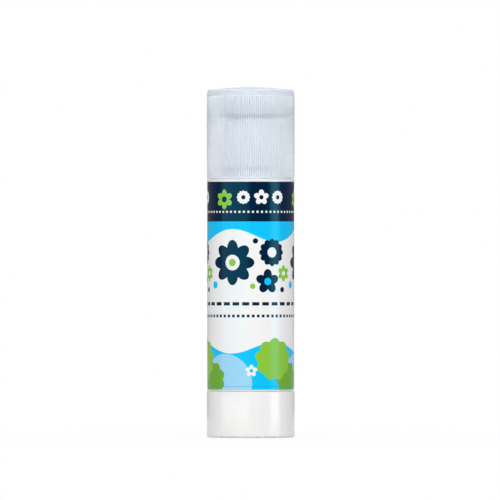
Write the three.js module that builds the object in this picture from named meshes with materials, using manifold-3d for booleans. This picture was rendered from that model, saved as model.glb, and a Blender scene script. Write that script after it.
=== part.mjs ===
// A twist-up glue stick of about 21 g: ribbed cap, twin-wall barrel with a wrap-round label,
// twist base with a lead screw, and a carriage that lifts the glue. Millimetres, +Z up.
// The origin is the centre of the base, and the label's front faces -Y.
import * as THREE from 'three';
import { mergeVertices } from 'three/addons/utils/BufferGeometryUtils.js';
import Module from 'manifold-3d';

const wasm = await Module();
wasm.setup();

// Twist base
const baseHeight = 13.75;
const baseWall = 1.5;
const baseFootEdge = 0.6; // rounded edge where it stands
const baseTopEdge = 0.15;
const deckThickness = 1.4;
const webCount = 8; // radial webs under the deck
const webThickness = 1.0;
const webSetUp = 2.2; // webs stop this far above the table
const bossDiameter = 8.6;
const bossSetUp = 1.8; // the boss stops this far above the table
const spigotHeight = 1.3; // centring ring that enters the shell
const spigotWall = 0.8;
const socketSide = 4.4; // square socket for the screw's tail
const socketDepth = 11.0;

// Barrel
const boreDiameter = 20.4; // the glue's own diameter, the same all the way up
const tubeWall = 0.9; // inner tube that holds the glue
const wallSpace = 0.8; // air space between inner tube and outer shell
const shellWall = 0.9; // outer shell that carries the label
const neckWall = 1.1; // inner tube where it stands out of the shell as the neck
const neckHeight = 19.3; // shoulder to mouth
const mouthEdge = 0.25; // broken edge of the mouth
const shoulderHeight = 0.65; // white ring above the label
const shoulderEdge = 0.2;
const shoulderWeb = 0.5; // web below the recess's top that joins tube and shell
const footRimHeight = 0.25; // rim below the label
const floorThickness = 1.4; // floor of the inner tube, which carries the screw
const floorSetUp = 1.75; // the floor's underside above the barrel's foot
const journalHoleDiameter = 6.2;
const beadAboveShoulder = 4.5; // snap bead round the neck
const beadProud = 0.25;
const beadHeight = 1.0;
const guideCount = 4; // ribs in the bore, which stop the carriage turning
const guideWidth = 1.0;
const guideProud = 0.45;
const guideBelowMouth = 6.0;

// Label
const labelHeight = 61.5;
const labelThickness = 0.06;
const labelLapFacets = 3; // facets by which the film laps over its own start at the back

// Lead screw, left-handed: turning the base clockwise, seen from below, lifts the glue
const threadLead = 5.0;
const threadDiameter = 7.0;
const rootDiameter = 4.8;
const crestHalfWidth = 0.45; // half of the ridge's width along the axis, at its crest
const rootHalfWidth = 0.85; // and at its root
const threadFlats = 5.4; // the ridge is left away beyond these two mould flats
const screwBelowMouth = 7.5; // the tip's distance below the mouth
const screwTipEdge = 0.8;
const collarDiameter = 10.0;
const collarThickness = 1.1;
const threadAboveCollar = 1.4;
const threadBelowTip = 1.8;

// Carriage
const carriageAboveCollar = 0.6; // its lowest position above the screw's collar
const skirtHeight = 6.6;
const skirtWall = 1.0;
const carriageFloor = 1.2;
const carriageEdge = 0.3;
const cupHeight = 6.0;
const cupWall = 1.0;
const hubWall = 1.5;
const gussetCount = 4;
const gussetThickness = 0.9;
const nutInset = 0.4; // the nut's thread stops this far inside the hub's ends

// Glue
const glueBelowMouth = 1.4; // a new stick lies this far below the mouth
const glueEdge = 0.5;
const glueCrown = 0.35;

// Cap
const capHeight = 27.2;
const capRoof = 1.2;
const capCrown = 0.8; // rise of the roof from its edge to its middle
const capEdge = 0.75; // rounded outer edge of the roof
const capRimHeight = 0.6; // plain rim below the ribs
const ribCount = 120;
const ribDepth = 0.3;
const ribBelowTop = 2.6; // ribs stop this far below the cap's highest point
const ribTuck = 0.12; // the rib band reaches this far into the wall behind it
const plainInset = 0.12; // plain rim and roof edge lie this far inside the rib crests
const sealHeight = 1.4; // bead inside the cap that closes on the neck's mouth
const sealEdge = 0.3;
const snapHeight = 0.9; // bead inside the cap that clicks under the neck's bead
const gateDiameter = 2.2; // dimple that the mould's gate leaves on the roof
const gateDepth = 0.25;

// Clearances
const turnClearance = 0.15; // faces that turn on each other
const spigotClearance = 0.25; // centring ring in the shell
const tailClearance = 0.15; // screw's tail in the base's socket
const slideClearance = 0.15; // carriage in the bore
const guideClearance = 0.25; // notches round the guide ribs
const threadClearance = 0.3; // nut on the screw, at both flanks, crest and root
const castClearance = 0.12; // glue to what it was cast against
const labelGap = 0.03; // film to shell, and film to film where it laps
const labelInset = 0.02; // lapped film below the flush diameter
const labelEndGap = 0.1; // film to the rims above and below it
const capClearance = 0.45; // neck to the cap's inside
const capSeatGap = 0.1; // cap's rim to the shoulder
const sealClearance = 0.1; // seal bead to the neck
const snapClearance = 0.1; // one snap bead past the other
const snapSeatGap = 0.5; // cap's snap bead below the neck's bead

// Modelling
const roundSegments = 48;
const threadSegments = 16; // facets in one turn of the screw
const crownSteps = 4;
const edgeSteps = 3;
const weld = 1e-4;
const overrun = 1.0; // how far a cutter runs past what it cuts

// Heights that follow from the sizes
const barrelFoot = baseHeight + turnClearance;
const recessFoot = barrelFoot + footRimHeight;
const recessTop = recessFoot + labelHeight + 2 * labelEndGap;
const shoulderTop = recessTop + shoulderHeight;
const mouth = shoulderTop + neckHeight;
const beadMiddle = shoulderTop + beadAboveShoulder;
const guideTop = mouth - guideBelowMouth;
const floorUnder = barrelFoot + floorSetUp;
const floorTop = floorUnder + floorThickness;
const bossTop = floorUnder - turnClearance;
const collarUnder = floorTop + turnClearance;
const collarTop = collarUnder + collarThickness;
const threadFoot = collarTop + threadAboveCollar;
const screwTip = mouth - screwBelowMouth;
const carriageFoot = collarTop + carriageAboveCollar;
const carriageFloorUnder = carriageFoot + skirtHeight;
const carriageFloorTop = carriageFloorUnder + carriageFloor;
const cupTop = carriageFloorTop + cupHeight;
const glueTop = mouth - glueBelowMouth;
const capFoot = shoulderTop + capSeatGap;
const capTop = capFoot + capHeight;

// Radii that follow from the sizes
const boreR = boreDiameter / 2;
const tubeR = boreR + tubeWall;
const shellInnerR = tubeR + wallSpace;
const recessR = shellInnerR + shellWall;
const flushR = recessR + 2 * (labelThickness + labelGap) + labelInset;
const neckR = boreR + neckWall;
const beadR = neckR + beadProud;
const journalHoleR = journalHoleDiameter / 2;
const spigotR = shellInnerR - spigotClearance;
const threadR = threadDiameter / 2;
const rootR = rootDiameter / 2;
const nutBoreR = threadR + threadClearance;
const hubR = nutBoreR + hubWall;
const carriageR = boreR - slideClearance;
const cupInnerR = carriageR - cupWall;
const capInnerR = neckR + capClearance;

// Angles
const facetAngle = (2 * Math.PI) / roundSegments;
const guideAngle = Math.PI / guideCount;
const labelSeamAngle = Math.PI / 2;

// Materials
const naturalPlastic = { color: 0xe2e9ef, roughness: 0.35, metalness: 0, transparent: true, opacity: 0.75 };
const whitePlastic = { color: 0xf3f3f2, roughness: 0.3, metalness: 0 };
const printedFilm = { color: 0x37bff0, roughness: 0.35, metalness: 0 };
const adhesive = { color: 0xf8f7f1, roughness: 0.6, metalness: 0 };

// A closed three.js geometry as a solid that can be joined and cut
function solid(geometry) {
  const bare = new THREE.BufferGeometry();
  bare.setAttribute('position', geometry.getAttribute('position'));
  bare.setIndex(geometry.getIndex());
  const merged = mergeVertices(bare, weld);
  const corners = merged.getIndex().array;
  const kept = [];
  for (let i = 0; i < corners.length; i += 3) {
    const [a, b, c] = corners.slice(i, i + 3);
    if (a !== b && b !== c && c !== a) kept.push(a, b, c);
  }
  const vertProperties = new Float32Array(merged.getAttribute('position').array);
  const triVerts = new Uint32Array(kept);
  return new wasm.Manifold(new wasm.Mesh({ numProp: 3, vertProperties, triVerts }));
}

// A profile of [radius, height] points from axis to axis, with its solid side on the left, turned about Z
function turned(points, segments = roundSegments) {
  const profile = points.map(([radius, height]) => new THREE.Vector2(radius, height));
  return solid(new THREE.LatheGeometry(profile, segments).rotateX(Math.PI / 2));
}

// The same for a ring, whose profile closes on itself
function turnedRing(points) {
  return turned([...points, points[0]]);
}

// A plain round plug or cutter between two heights
function turnedPlug(radius, low, high) {
  return turned([
    [0, low],
    [radius, low],
    [radius, high],
    [0, high],
  ]);
}

// An upright square block, centred on the axis
function squareBlock(width, depth, low, high) {
  const block = new THREE.BoxGeometry(width, depth, high - low);
  return solid(block.translate(0, 0, (low + high) / 2));
}

// Equal radial blocks round the axis, from radius inner to outer and height low to high
function blocksAround(count, firstAngle, inner, outer, width, low, high) {
  const blocks = [];
  for (let i = 0; i < count; i += 1) {
    const block = new THREE.BoxGeometry(outer - inner, width, high - low);
    block.translate((inner + outer) / 2, 0, (low + high) / 2);
    blocks.push(solid(block.rotateZ(firstAngle + (i * 2 * Math.PI) / count)));
  }
  return blocks.reduce((all, block) => all.add(block));
}

// A left-handed helical ridge between two radii, whose middle is at height low at angle 0
function helicalRidge(innerR, outerR, halfWidth, low, turns) {
  const section = [
    [innerR, -halfWidth(innerR)],
    [outerR, -halfWidth(outerR)],
    [outerR, halfWidth(outerR)],
    [innerR, halfWidth(innerR)],
  ];
  const sides = section.length;
  const steps = Math.floor(turns * threadSegments);
  const positions = [];
  for (let step = 0; step <= steps; step += 1) {
    const angle = (-2 * Math.PI * step) / threadSegments;
    const middle = low + (threadLead * step) / threadSegments;
    for (const [radius, offset] of section) {
      positions.push(radius * Math.cos(angle), radius * Math.sin(angle), middle + offset);
    }
  }
  const index = [];
  for (let step = 0; step < steps; step += 1) {
    for (let side = 0; side < sides; side += 1) {
      const here = step * sides + side;
      const beside = step * sides + ((side + 1) % sides);
      index.push(here, beside, here + sides, beside, beside + sides, here + sides);
    }
  }
  const last = steps * sides;
  index.push(0, 2, 1, 0, 3, 2);
  index.push(last, last + 1, last + 2, last, last + 2, last + 3);
  const ridge = new THREE.BufferGeometry();
  ridge.setAttribute('position', new THREE.Float32BufferAttribute(positions, 3));
  ridge.setIndex(index);
  return solid(ridge);
}

// Half of the screw ridge's width along the axis, at a radius
function ridgeHalfWidth(radius) {
  const slope = (rootHalfWidth - crestHalfWidth) / (threadR - rootR);
  return rootHalfWidth - slope * (radius - rootR);
}

// The nut's ridge fills the screw's groove, less the clearance on both flanks
function nutHalfWidth(radius) {
  return threadLead / 2 - ridgeHalfWidth(radius) - threadClearance;
}

// A rounded convex edge of a profile, from the outer face to the top face
function roundedTopEdge(radius, top, edge) {
  const points = [];
  for (let i = 0; i <= edgeSteps; i += 1) {
    const angle = (i * Math.PI) / (2 * edgeSteps);
    points.push([radius - edge + edge * Math.cos(angle), top - edge + edge * Math.sin(angle)]);
  }
  return points;
}

// A shallow crown from its edge to the axis
function crown(radius, edgeHeight, rise) {
  const points = [];
  for (let i = 0; i <= crownSteps; i += 1) {
    const out = 1 - i / crownSteps;
    points.push([radius * out, edgeHeight + rise * (1 - out * out)]);
  }
  return points;
}

// Twist base: grip, deck, centring spigot, socketed boss, and the webs under the deck
function twistBase() {
  const wallInnerR = flushR - baseWall;
  const bossR = bossDiameter / 2;
  const deckUnder = baseHeight - deckThickness;
  const spigotTop = baseHeight + spigotHeight;
  const footEdge = roundedTopEdge(flushR, baseFootEdge, baseFootEdge)
    .map(([radius, height]) => [radius, baseFootEdge - height])
    .reverse();
  const grip = turned([
    [0, bossSetUp],
    [bossR, bossSetUp],
    [bossR, deckUnder],
    [wallInnerR, deckUnder],
    [wallInnerR, 0],
    ...footEdge,
    [flushR, baseHeight - baseTopEdge],
    [flushR - baseTopEdge, baseHeight],
    [spigotR, baseHeight],
    [spigotR, spigotTop],
    [spigotR - spigotWall, spigotTop],
    [spigotR - spigotWall, baseHeight],
    [bossR, baseHeight],
    [bossR, bossTop],
    [0, bossTop],
  ]);
  const webs = blocksAround(webCount, 0, bossR - webThickness / 2, wallInnerR + baseWall / 2,
    webThickness, webSetUp, deckUnder + deckThickness / 2);
  const socket = squareBlock(socketSide, socketSide, bossTop - socketDepth, bossTop + overrun);
  return grip.add(webs).subtract(socket);
}

// Lead screw: square tail, journal, collar and core, with a ridge between two mould flats
function leadScrew() {
  const journalR = journalHoleR - turnClearance;
  const collarR = collarDiameter / 2;
  const tailSide = socketSide - 2 * tailClearance;
  const tailFoot = bossTop - socketDepth + tailClearance;
  const shank = turned([
    [0, bossTop],
    [journalR, bossTop],
    [journalR, collarUnder],
    [collarR, collarUnder],
    [collarR, collarTop],
    [0, collarTop],
  ]);
  const core = turned([
    [0, collarUnder],
    [rootR, collarUnder],
    [rootR, screwTip - screwTipEdge],
    [rootR - screwTipEdge, screwTip],
    [0, screwTip],
  ], threadSegments);
  const tail = squareBlock(tailSide, tailSide, tailFoot, collarUnder);
  const turns = (screwTip - threadBelowTip - threadFoot) / threadLead;
  const ridge = helicalRidge(rootR / 2, threadR, ridgeHalfWidth, threadFoot, turns);
  const mould = squareBlock(threadDiameter + overrun, threadFlats, collarUnder, screwTip);
  return shank.add(tail).add(core.add(ridge.intersect(mould)));
}

// Barrel: inner tube and neck, outer shell, floor with the screw's hole, and the guide ribs
function barrel() {
  const webUnder = recessTop - shoulderWeb;
  const shell = turnedRing([
    [journalHoleR, floorUnder],
    [tubeR, floorUnder],
    [tubeR, webUnder],
    [shellInnerR, webUnder],
    [shellInnerR, barrelFoot],
    [flushR, barrelFoot],
    [flushR, recessFoot],
    [recessR, recessFoot],
    [recessR, recessTop],
    [flushR, recessTop],
    [flushR, shoulderTop - shoulderEdge],
    [flushR - shoulderEdge, shoulderTop],
    [neckR, shoulderTop],
    [neckR, beadMiddle - beadHeight / 2],
    [beadR, beadMiddle - beadHeight / 5],
    [beadR, beadMiddle + beadHeight / 5],
    [neckR, beadMiddle + beadHeight / 2],
    [neckR, mouth - mouthEdge],
    [neckR - mouthEdge, mouth],
    [boreR + mouthEdge, mouth],
    [boreR, mouth - mouthEdge],
    [boreR, floorTop],
    [journalHoleR, floorTop],
  ]);
  const guides = blocksAround(guideCount, guideAngle, boreR - guideProud, boreR + tubeWall / 2,
    guideWidth, floorUnder + floorThickness / 2, guideTop);
  return shell.add(guides);
}

// Label: one film wrapped round the shell, its end lapped over its start at the back
function label() {
  const lapRise = labelThickness + labelGap;
  const lastFacet = roundSegments + labelLapFacets;
  const outside = [];
  const inside = [];
  for (let facet = 0; facet <= lastFacet; facet += 1) {
    const angle = labelSeamAngle + facet * facetAngle;
    const innerR = recessR + labelGap + (facet < roundSegments ? 0 : lapRise);
    const outerR = innerR + labelThickness;
    inside.push(new THREE.Vector2(innerR * Math.cos(angle), innerR * Math.sin(angle)));
    outside.push(new THREE.Vector2(outerR * Math.cos(angle), outerR * Math.sin(angle)));
  }
  const outline = new THREE.Shape([...outside, ...inside.reverse()]);
  const film = new THREE.ExtrudeGeometry(outline, { depth: labelHeight, bevelEnabled: false });
  return solid(film.translate(0, 0, recessFoot + labelEndGap));
}

// Notches that clear the guide ribs, through everything between two heights
function guideNotches(low, high) {
  return blocksAround(guideCount, guideAngle, boreR - guideProud - guideClearance, boreR + overrun,
    guideWidth + 2 * guideClearance, low, high);
}

// Carriage: floor with a guiding skirt below, a cup for the glue above, and a nut in its hub
function carriage() {
  const skirtInnerR = carriageR - skirtWall;
  const body = turnedRing([
    [nutBoreR, carriageFoot],
    [hubR, carriageFoot],
    [hubR, carriageFloorUnder],
    [skirtInnerR, carriageFloorUnder],
    [skirtInnerR, carriageFoot],
    [carriageR - carriageEdge, carriageFoot],
    [carriageR, carriageFoot + carriageEdge],
    [carriageR, cupTop],
    [cupInnerR, cupTop],
    [cupInnerR, carriageFloorTop],
    [nutBoreR, carriageFloorTop],
  ]);
  const gussets = blocksAround(gussetCount, 0, hubR - hubWall / 2, skirtInnerR + skirtWall / 2,
    gussetThickness, carriageFoot + carriageEdge, carriageFloorUnder + carriageFloor / 2);
  const notches = guideNotches(carriageFoot - overrun, cupTop + overrun);
  const turns = (carriageFloorTop - threadFoot) / threadLead + 2;
  const thread = helicalRidge(rootR + threadClearance, nutBoreR + hubWall / 3, nutHalfWidth,
    threadFoot - threadLead / 2, turns);
  const hubSpan = turnedPlug(hubR, carriageFoot + nutInset, carriageFloorTop - nutInset);
  return body.add(gussets).subtract(notches).add(thread.intersect(hubSpan));
}

// Glue: cast in the cup and in the bore, round the screw and the guide ribs
function glue() {
  const footR = cupInnerR - castClearance;
  const glueR = boreR - castClearance;
  const glueFoot = carriageFloorTop + castClearance;
  const stepHeight = cupTop + castClearance;
  const block = turned([
    [0, glueFoot],
    [footR, glueFoot],
    [footR, stepHeight],
    [glueR, stepHeight],
    [glueR, glueTop - glueEdge],
    ...crown(glueR - glueEdge, glueTop, glueCrown),
  ]);
  const screwHole = turnedPlug(threadR + castClearance, glueFoot - overrun, screwTip + castClearance);
  const notches = guideNotches(glueFoot - overrun, guideTop + guideClearance);
  return block.subtract(screwHole).subtract(notches);
}

// Outline of the cap's ribbed band: a crest and a valley for each rib
function ribbedOutline(crestR, valleyR) {
  const points = [];
  for (let i = 0; i < 2 * ribCount; i += 1) {
    const radius = i % 2 === 0 ? crestR : valleyR;
    const angle = (i * Math.PI) / ribCount;
    points.push(new THREE.Vector2(radius * Math.cos(angle), radius * Math.sin(angle)));
  }
  return new THREE.Shape(points);
}

// Cap: crowned roof and ribbed wall, with a seal bead at the mouth and a snap bead near the rim
function cap() {
  const crestR = flushR;
  const valleyR = crestR - ribDepth;
  const plainR = crestR - plainInset;
  const coreR = valleyR - ribTuck / 2;
  const roofEdgeTop = capTop - capCrown;
  const ribFoot = capFoot + capRimHeight;
  const ribTop = capTop - ribBelowTop;
  const sealR = neckR + sealClearance;
  const sealFoot = mouth - sealHeight;
  const snapR = beadR + snapClearance;
  const snapTop = beadMiddle - beadHeight / 2 - snapSeatGap;
  const shell = turned([
    ...crown(capInnerR, roofEdgeTop - capRoof, capCrown).reverse(),
    [capInnerR, mouth],
    [sealR, mouth - sealEdge],
    [sealR, sealFoot + sealEdge],
    [capInnerR, sealFoot],
    [capInnerR, snapTop],
    [snapR, snapTop - snapHeight / 3],
    [snapR, snapTop - (2 * snapHeight) / 3],
    [capInnerR, snapTop - snapHeight],
    [capInnerR, capFoot],
    [plainR, capFoot],
    [plainR, ribFoot],
    [coreR, ribFoot],
    [coreR, ribTop],
    [plainR, ribTop],
    ...roundedTopEdge(plainR, roofEdgeTop, capEdge),
    ...crown(plainR - capEdge, roofEdgeTop, capCrown).slice(1),
  ]);
  const outline = ribbedOutline(crestR, valleyR);
  const band = new THREE.ExtrudeGeometry(outline, { depth: ribTop - ribFoot, bevelEnabled: false });
  band.translate(0, 0, ribFoot);
  const bandBore = turnedPlug(coreR - ribTuck, ribFoot - overrun, ribTop + overrun);
  const gate = turnedPlug(gateDiameter / 2, capTop - gateDepth, capTop + overrun);
  return shell.add(solid(band).subtract(bandBore)).subtract(gate);
}

// A finished solid as a named three.js mesh
function namedMesh(name, body, finish) {
  const { vertProperties, triVerts } = body.getMesh();
  const geometry = new THREE.BufferGeometry();
  geometry.setAttribute('position', new THREE.Float32BufferAttribute(vertProperties, 3));
  geometry.setIndex(new THREE.Uint32BufferAttribute(triVerts, 1));
  geometry.computeVertexNormals();
  const mesh = new THREE.Mesh(geometry, new THREE.MeshStandardMaterial(finish));
  mesh.name = name;
  return mesh;
}

// The whole stick with its cap on
const glueStick = new THREE.Group();
glueStick.add(
  namedMesh('cap', cap(), naturalPlastic),
  namedMesh('barrel', barrel(), whitePlastic),
  namedMesh('label', label(), printedFilm),
  namedMesh('twist_base', twistBase(), whitePlastic),
  namedMesh('lead_screw', leadScrew(), whitePlastic),
  namedMesh('carriage', carriage(), whitePlastic),
  namedMesh('glue', glue(), adhesive),
);

export default glueStick;
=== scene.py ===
import math

import bmesh
import bpy
from mathutils import Matrix


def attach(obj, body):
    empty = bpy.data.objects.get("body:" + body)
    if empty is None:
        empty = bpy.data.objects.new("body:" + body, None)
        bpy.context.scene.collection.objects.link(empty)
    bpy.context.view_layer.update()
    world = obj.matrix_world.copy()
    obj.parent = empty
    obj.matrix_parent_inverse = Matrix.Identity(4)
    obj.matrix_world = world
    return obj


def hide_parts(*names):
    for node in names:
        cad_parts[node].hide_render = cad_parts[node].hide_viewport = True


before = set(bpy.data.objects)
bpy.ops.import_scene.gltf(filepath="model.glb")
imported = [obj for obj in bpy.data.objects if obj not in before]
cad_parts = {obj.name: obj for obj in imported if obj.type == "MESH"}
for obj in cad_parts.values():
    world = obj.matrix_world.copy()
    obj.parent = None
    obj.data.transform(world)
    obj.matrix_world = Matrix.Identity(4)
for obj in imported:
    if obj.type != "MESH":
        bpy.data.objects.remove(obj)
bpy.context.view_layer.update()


# Twist base: one moulding in glossy white polypropylene, turned by hand to wind the glue up.
# It is open underneath, where eight webs run from its wall to the boss that grips the screw,
# and a thin ring on its deck centres it in the barrel's shell.
mm = 0.001
full_turn = 2 * math.pi
flush_radius = 13.0
base_height = 13.75
base_bore_radius = 11.5
base_deck_underside = 12.35
base_boss_radius = 4.3
base_boss_foot = 1.8
base_boss_top = 15.5
base_ring_outside = 11.65
base_ring_inside = 10.85
base_ring_top = 15.05
base_web_count = 8
base_web_foot = 2.2
base_web_thickness = 1.0
base_web_bite = 0.6
base_socket_side = 4.4
base_socket_foot = 4.5
ejector_mark_radius = 1.1
ejector_mark_circle = 8.3
ejector_mark_depth = 0.12
ejector_mark_steps = 32
overrun = 1
round_steps = 192
same_place = 0.01
turned_merge = 0.002
cut_merge = 0.0002


def turned(outline, steps=round_steps):
    """Spin an outline of (radius, height) corners in mm about the stick's axis."""
    shape = bmesh.new()
    corners = [shape.verts.new((radius * mm, 0, height * mm)) for radius, height in outline]
    walls = [shape.edges.new(pair) for pair in zip(corners, corners[1:])]
    bmesh.ops.spin(shape, geom=corners + walls, cent=(0, 0, 0), axis=(0, 0, 1), dvec=(0, 0, 0),
                   angle=full_turn, steps=steps, use_merge=True)
    bmesh.ops.remove_doubles(shape, verts=shape.verts[:], dist=turned_merge * mm)
    bmesh.ops.recalc_face_normals(shape, faces=shape.faces[:])
    return shape


def soften(shape, corners, width, segments=3):
    """Round the turned corners that lie at these (radius, height) places in mm."""
    for radius, height in corners:
        ring = [edge for edge in shape.edges
                if all(abs(vert.co.xy.length - radius * mm) < same_place * mm
                       and abs(vert.co.z - height * mm) < same_place * mm for vert in edge.verts)]
        bmesh.ops.bevel(shape, geom=ring, offset=width * mm, offset_type="OFFSET",
                        segments=segments, profile=0.5, affect="EDGES", material=-1)


def block(along, across, low, high, edge=0.0):
    """A box from along[0] to along[1] on X, across wide on Y, with rounded edges if asked."""
    shape = bmesh.new()
    size = Matrix.Diagonal(((along[1] - along[0]) * mm, across * mm, (high - low) * mm, 1))
    place = Matrix.Translation((sum(along) / 2 * mm, 0, (low + high) / 2 * mm))
    bmesh.ops.create_cube(shape, size=1, matrix=place @ size)
    if edge:
        bmesh.ops.bevel(shape, geom=shape.edges[:], offset=edge * mm, offset_type="OFFSET",
                        segments=2, profile=0.5, affect="EDGES", material=-1)
    return shape


def repeated(shape, count, first_angle=0.0):
    """Copies of a shape, evenly spaced round the axis."""
    bmesh.ops.rotate(shape, verts=shape.verts[:], matrix=Matrix.Rotation(first_angle, 3, "Z"))
    one = shape.verts[:] + shape.edges[:] + shape.faces[:]
    for number in range(1, count):
        copy = bmesh.ops.duplicate(shape, geom=one)["geom"]
        turned_verts = [item for item in copy if isinstance(item, bmesh.types.BMVert)]
        spread = Matrix.Rotation(number * full_turn / count, 3, "Z")
        bmesh.ops.rotate(shape, verts=turned_verts, matrix=spread)
    return shape


def as_object(name, shape):
    """Put a bmesh into the scene as an object."""
    mesh = bpy.data.meshes.new(name)
    shape.to_mesh(mesh)
    shape.free()
    made = bpy.data.objects.new(name, mesh)
    bpy.context.scene.collection.objects.link(made)
    return made


def shape_of(piece):
    """The bmesh of an object that was only made to be worked into another."""
    shape = bmesh.new()
    shape.from_mesh(piece.data)
    bpy.data.objects.remove(piece)
    return shape


def work(piece, shape, operation):
    """Join a shape to a piece, cut it away, or keep only what the two share."""
    tool = as_object("tool", shape)
    step = piece.modifiers.new("work", "BOOLEAN")
    step.operation = operation
    step.solver = "EXACT"
    step.object = tool
    worked = piece.evaluated_get(bpy.context.evaluated_depsgraph_get())
    mesh = bpy.data.meshes.new_from_object(worked)
    piece.modifiers.remove(step)
    before = piece.data
    piece.data = mesh
    tool_mesh = tool.data
    bpy.data.objects.remove(tool)
    bpy.data.meshes.remove(tool_mesh)
    bpy.data.meshes.remove(before)


def settle(piece, material, body, node, sharp_degrees=32):
    """Merge a finished piece's doubled points, shade it, and fix it to its body."""
    clean = bmesh.new()
    clean.from_mesh(piece.data)
    bmesh.ops.remove_doubles(clean, verts=clean.verts[:], dist=cut_merge * mm)
    clean.to_mesh(piece.data)
    clean.free()
    piece.data.shade_smooth()
    piece.data.set_sharp_from_angle(angle=math.radians(sharp_degrees))
    piece.data.materials.clear()
    piece.data.materials.append(material)
    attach(piece, body)
    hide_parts(node)


base_shape = turned([
    (0, base_boss_foot),
    (base_boss_radius, base_boss_foot),
    (base_boss_radius, base_deck_underside),
    (base_bore_radius, base_deck_underside),
    (base_bore_radius, 0),
    (flush_radius, 0),
    (flush_radius, base_height),
    (base_ring_outside, base_height),
    (base_ring_outside, base_ring_top),
    (base_ring_inside, base_ring_top),
    (base_ring_inside, base_height),
    (base_boss_radius, base_height),
    (base_boss_radius, base_boss_top),
    (0, base_boss_top),
])
soften(base_shape, [(flush_radius, 0)], 0.6, 6)
soften(base_shape, [(flush_radius, base_height)], 0.15, 3)
soften(base_shape, [(base_bore_radius, 0), (base_boss_radius, base_boss_foot)], 0.25, 3)
soften(base_shape, [(base_bore_radius, base_deck_underside)], 0.4, 4)
soften(base_shape, [(base_boss_radius, base_deck_underside)], 0.4, 4)
soften(base_shape, [(base_ring_outside, base_ring_top)], 0.15, 2)
soften(base_shape, [(base_ring_inside, base_ring_top)], 0.15, 2)
base = as_object("base_grip", base_shape)
webs = block((base_boss_radius - base_web_bite, base_bore_radius + base_web_bite),
             base_web_thickness, base_web_foot, base_deck_underside + base_web_bite, edge=0.2)
work(base, repeated(webs, base_web_count), "UNION")
socket_half = base_socket_side / 2
socket = block((-socket_half, socket_half), base_socket_side, base_socket_foot,
               base_boss_top + overrun)
work(base, socket, "DIFFERENCE")
ejector_marks = turned([
    (0, base_deck_underside - overrun),
    (ejector_mark_radius, base_deck_underside - overrun),
    (ejector_mark_radius, base_deck_underside + ejector_mark_depth),
    (0, base_deck_underside + ejector_mark_depth),
], ejector_mark_steps)
bmesh.ops.translate(ejector_marks, verts=ejector_marks.verts[:],
                    vec=(ejector_mark_circle * mm, 0, 0))
work(base, repeated(ejector_marks, base_web_count, math.pi / base_web_count), "DIFFERENCE")


def linear(red, green, blue):
    """A colour given as 0 to 255 display values, as the shader wants it."""
    levels = [value / 255 for value in (red, green, blue)]
    return tuple(x / 12.92 if x <= 0.04045 else ((x + 0.055) / 1.055) ** 2.4 for x in levels) + (1,)


def add(tree, kind, **values):
    """A shader node, with its properties and its unlinked inputs set by name."""
    made = tree.nodes.new(kind)
    for name, value in values.items():
        if hasattr(made, name):
            setattr(made, name, value)
        else:
            made.inputs[name.replace("_", " ")].default_value = value
    return made


def sum_of(tree, operation, *terms, clamp=False):
    """A Math node over sockets and plain numbers."""
    made = tree.nodes.new("ShaderNodeMath")
    made.operation = operation
    made.use_clamp = clamp
    for place, term in enumerate(terms):
        if isinstance(term, (int, float)):
            made.inputs[place].default_value = term
        else:
            tree.links.new(term, made.inputs[place])
    return made.outputs[0]


def new_group(name, inputs, outputs):
    """An empty shader group with float sockets, and its two end nodes."""
    group = bpy.data.node_groups.new(name, "ShaderNodeTree")
    for label, start in inputs.items():
        socket = group.interface.new_socket(label, in_out="INPUT", socket_type="NodeSocketFloat")
        socket.default_value = start
    for label in outputs:
        group.interface.new_socket(label, in_out="OUTPUT", socket_type="NodeSocketFloat")
    return group, group.nodes.new("NodeGroupInput"), group.nodes.new("NodeGroupOutput")


# The skin that a polished steel mould leaves on plastic: an even gloss that drifts a little,
# faint orange peel, flow lines along the draw, and a few hairline scratches from handling.
hair_sharpness = 160
scratch_roughness = 0.2
scratch_height = -0.5
flow_share = 0.6
moulded_skin, skin_in, skin_out = new_group(
    "moulded skin", {"Gloss": 0.3, "Drift": 0.06, "Scratches": 0.3}, ("Roughness", "Height"))
skin_place = add(moulded_skin, "ShaderNodeTexCoord")
skin_drift = add(moulded_skin, "ShaderNodeTexNoise", Scale=260, Detail=3)
skin_peel = add(moulded_skin, "ShaderNodeTexNoise", Scale=2600, Detail=1)
skin_stretch = add(moulded_skin, "ShaderNodeMapping")
skin_stretch.inputs["Scale"].default_value = (1500, 1500, 30)
skin_flow = add(moulded_skin, "ShaderNodeTexNoise", Scale=1, Detail=2)
hair_stretch = add(moulded_skin, "ShaderNodeMapping")
hair_stretch.inputs["Rotation"].default_value = (0.5, 0.35, 0.2)
hair_stretch.inputs["Scale"].default_value = (420, 420, 26)
hair_noise = add(moulded_skin, "ShaderNodeTexNoise", Scale=1, Detail=1, Distortion=0.6)
for pattern in (skin_drift, skin_peel, skin_stretch, hair_stretch):
    moulded_skin.links.new(skin_place.outputs["Object"], pattern.inputs["Vector"])
moulded_skin.links.new(skin_stretch.outputs["Vector"], skin_flow.inputs["Vector"])
moulded_skin.links.new(hair_stretch.outputs["Vector"], hair_noise.inputs["Vector"])
hair_line = sum_of(moulded_skin, "SUBTRACT", hair_noise.outputs[0], 0.5)
hair_line = sum_of(moulded_skin, "ABSOLUTE", hair_line)
hair_line = sum_of(moulded_skin, "MULTIPLY", hair_line, hair_sharpness)
hair_mask = sum_of(moulded_skin, "SUBTRACT", 1, hair_line, clamp=True)
hair_mask = sum_of(moulded_skin, "MULTIPLY", hair_mask, skin_in.outputs["Scratches"])
gloss_drift = sum_of(moulded_skin, "SUBTRACT", skin_drift.outputs[0], 0.5)
gloss_drift = sum_of(moulded_skin, "MULTIPLY", gloss_drift, skin_in.outputs["Drift"])
even_gloss = sum_of(moulded_skin, "ADD", skin_in.outputs["Gloss"], gloss_drift)
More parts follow.
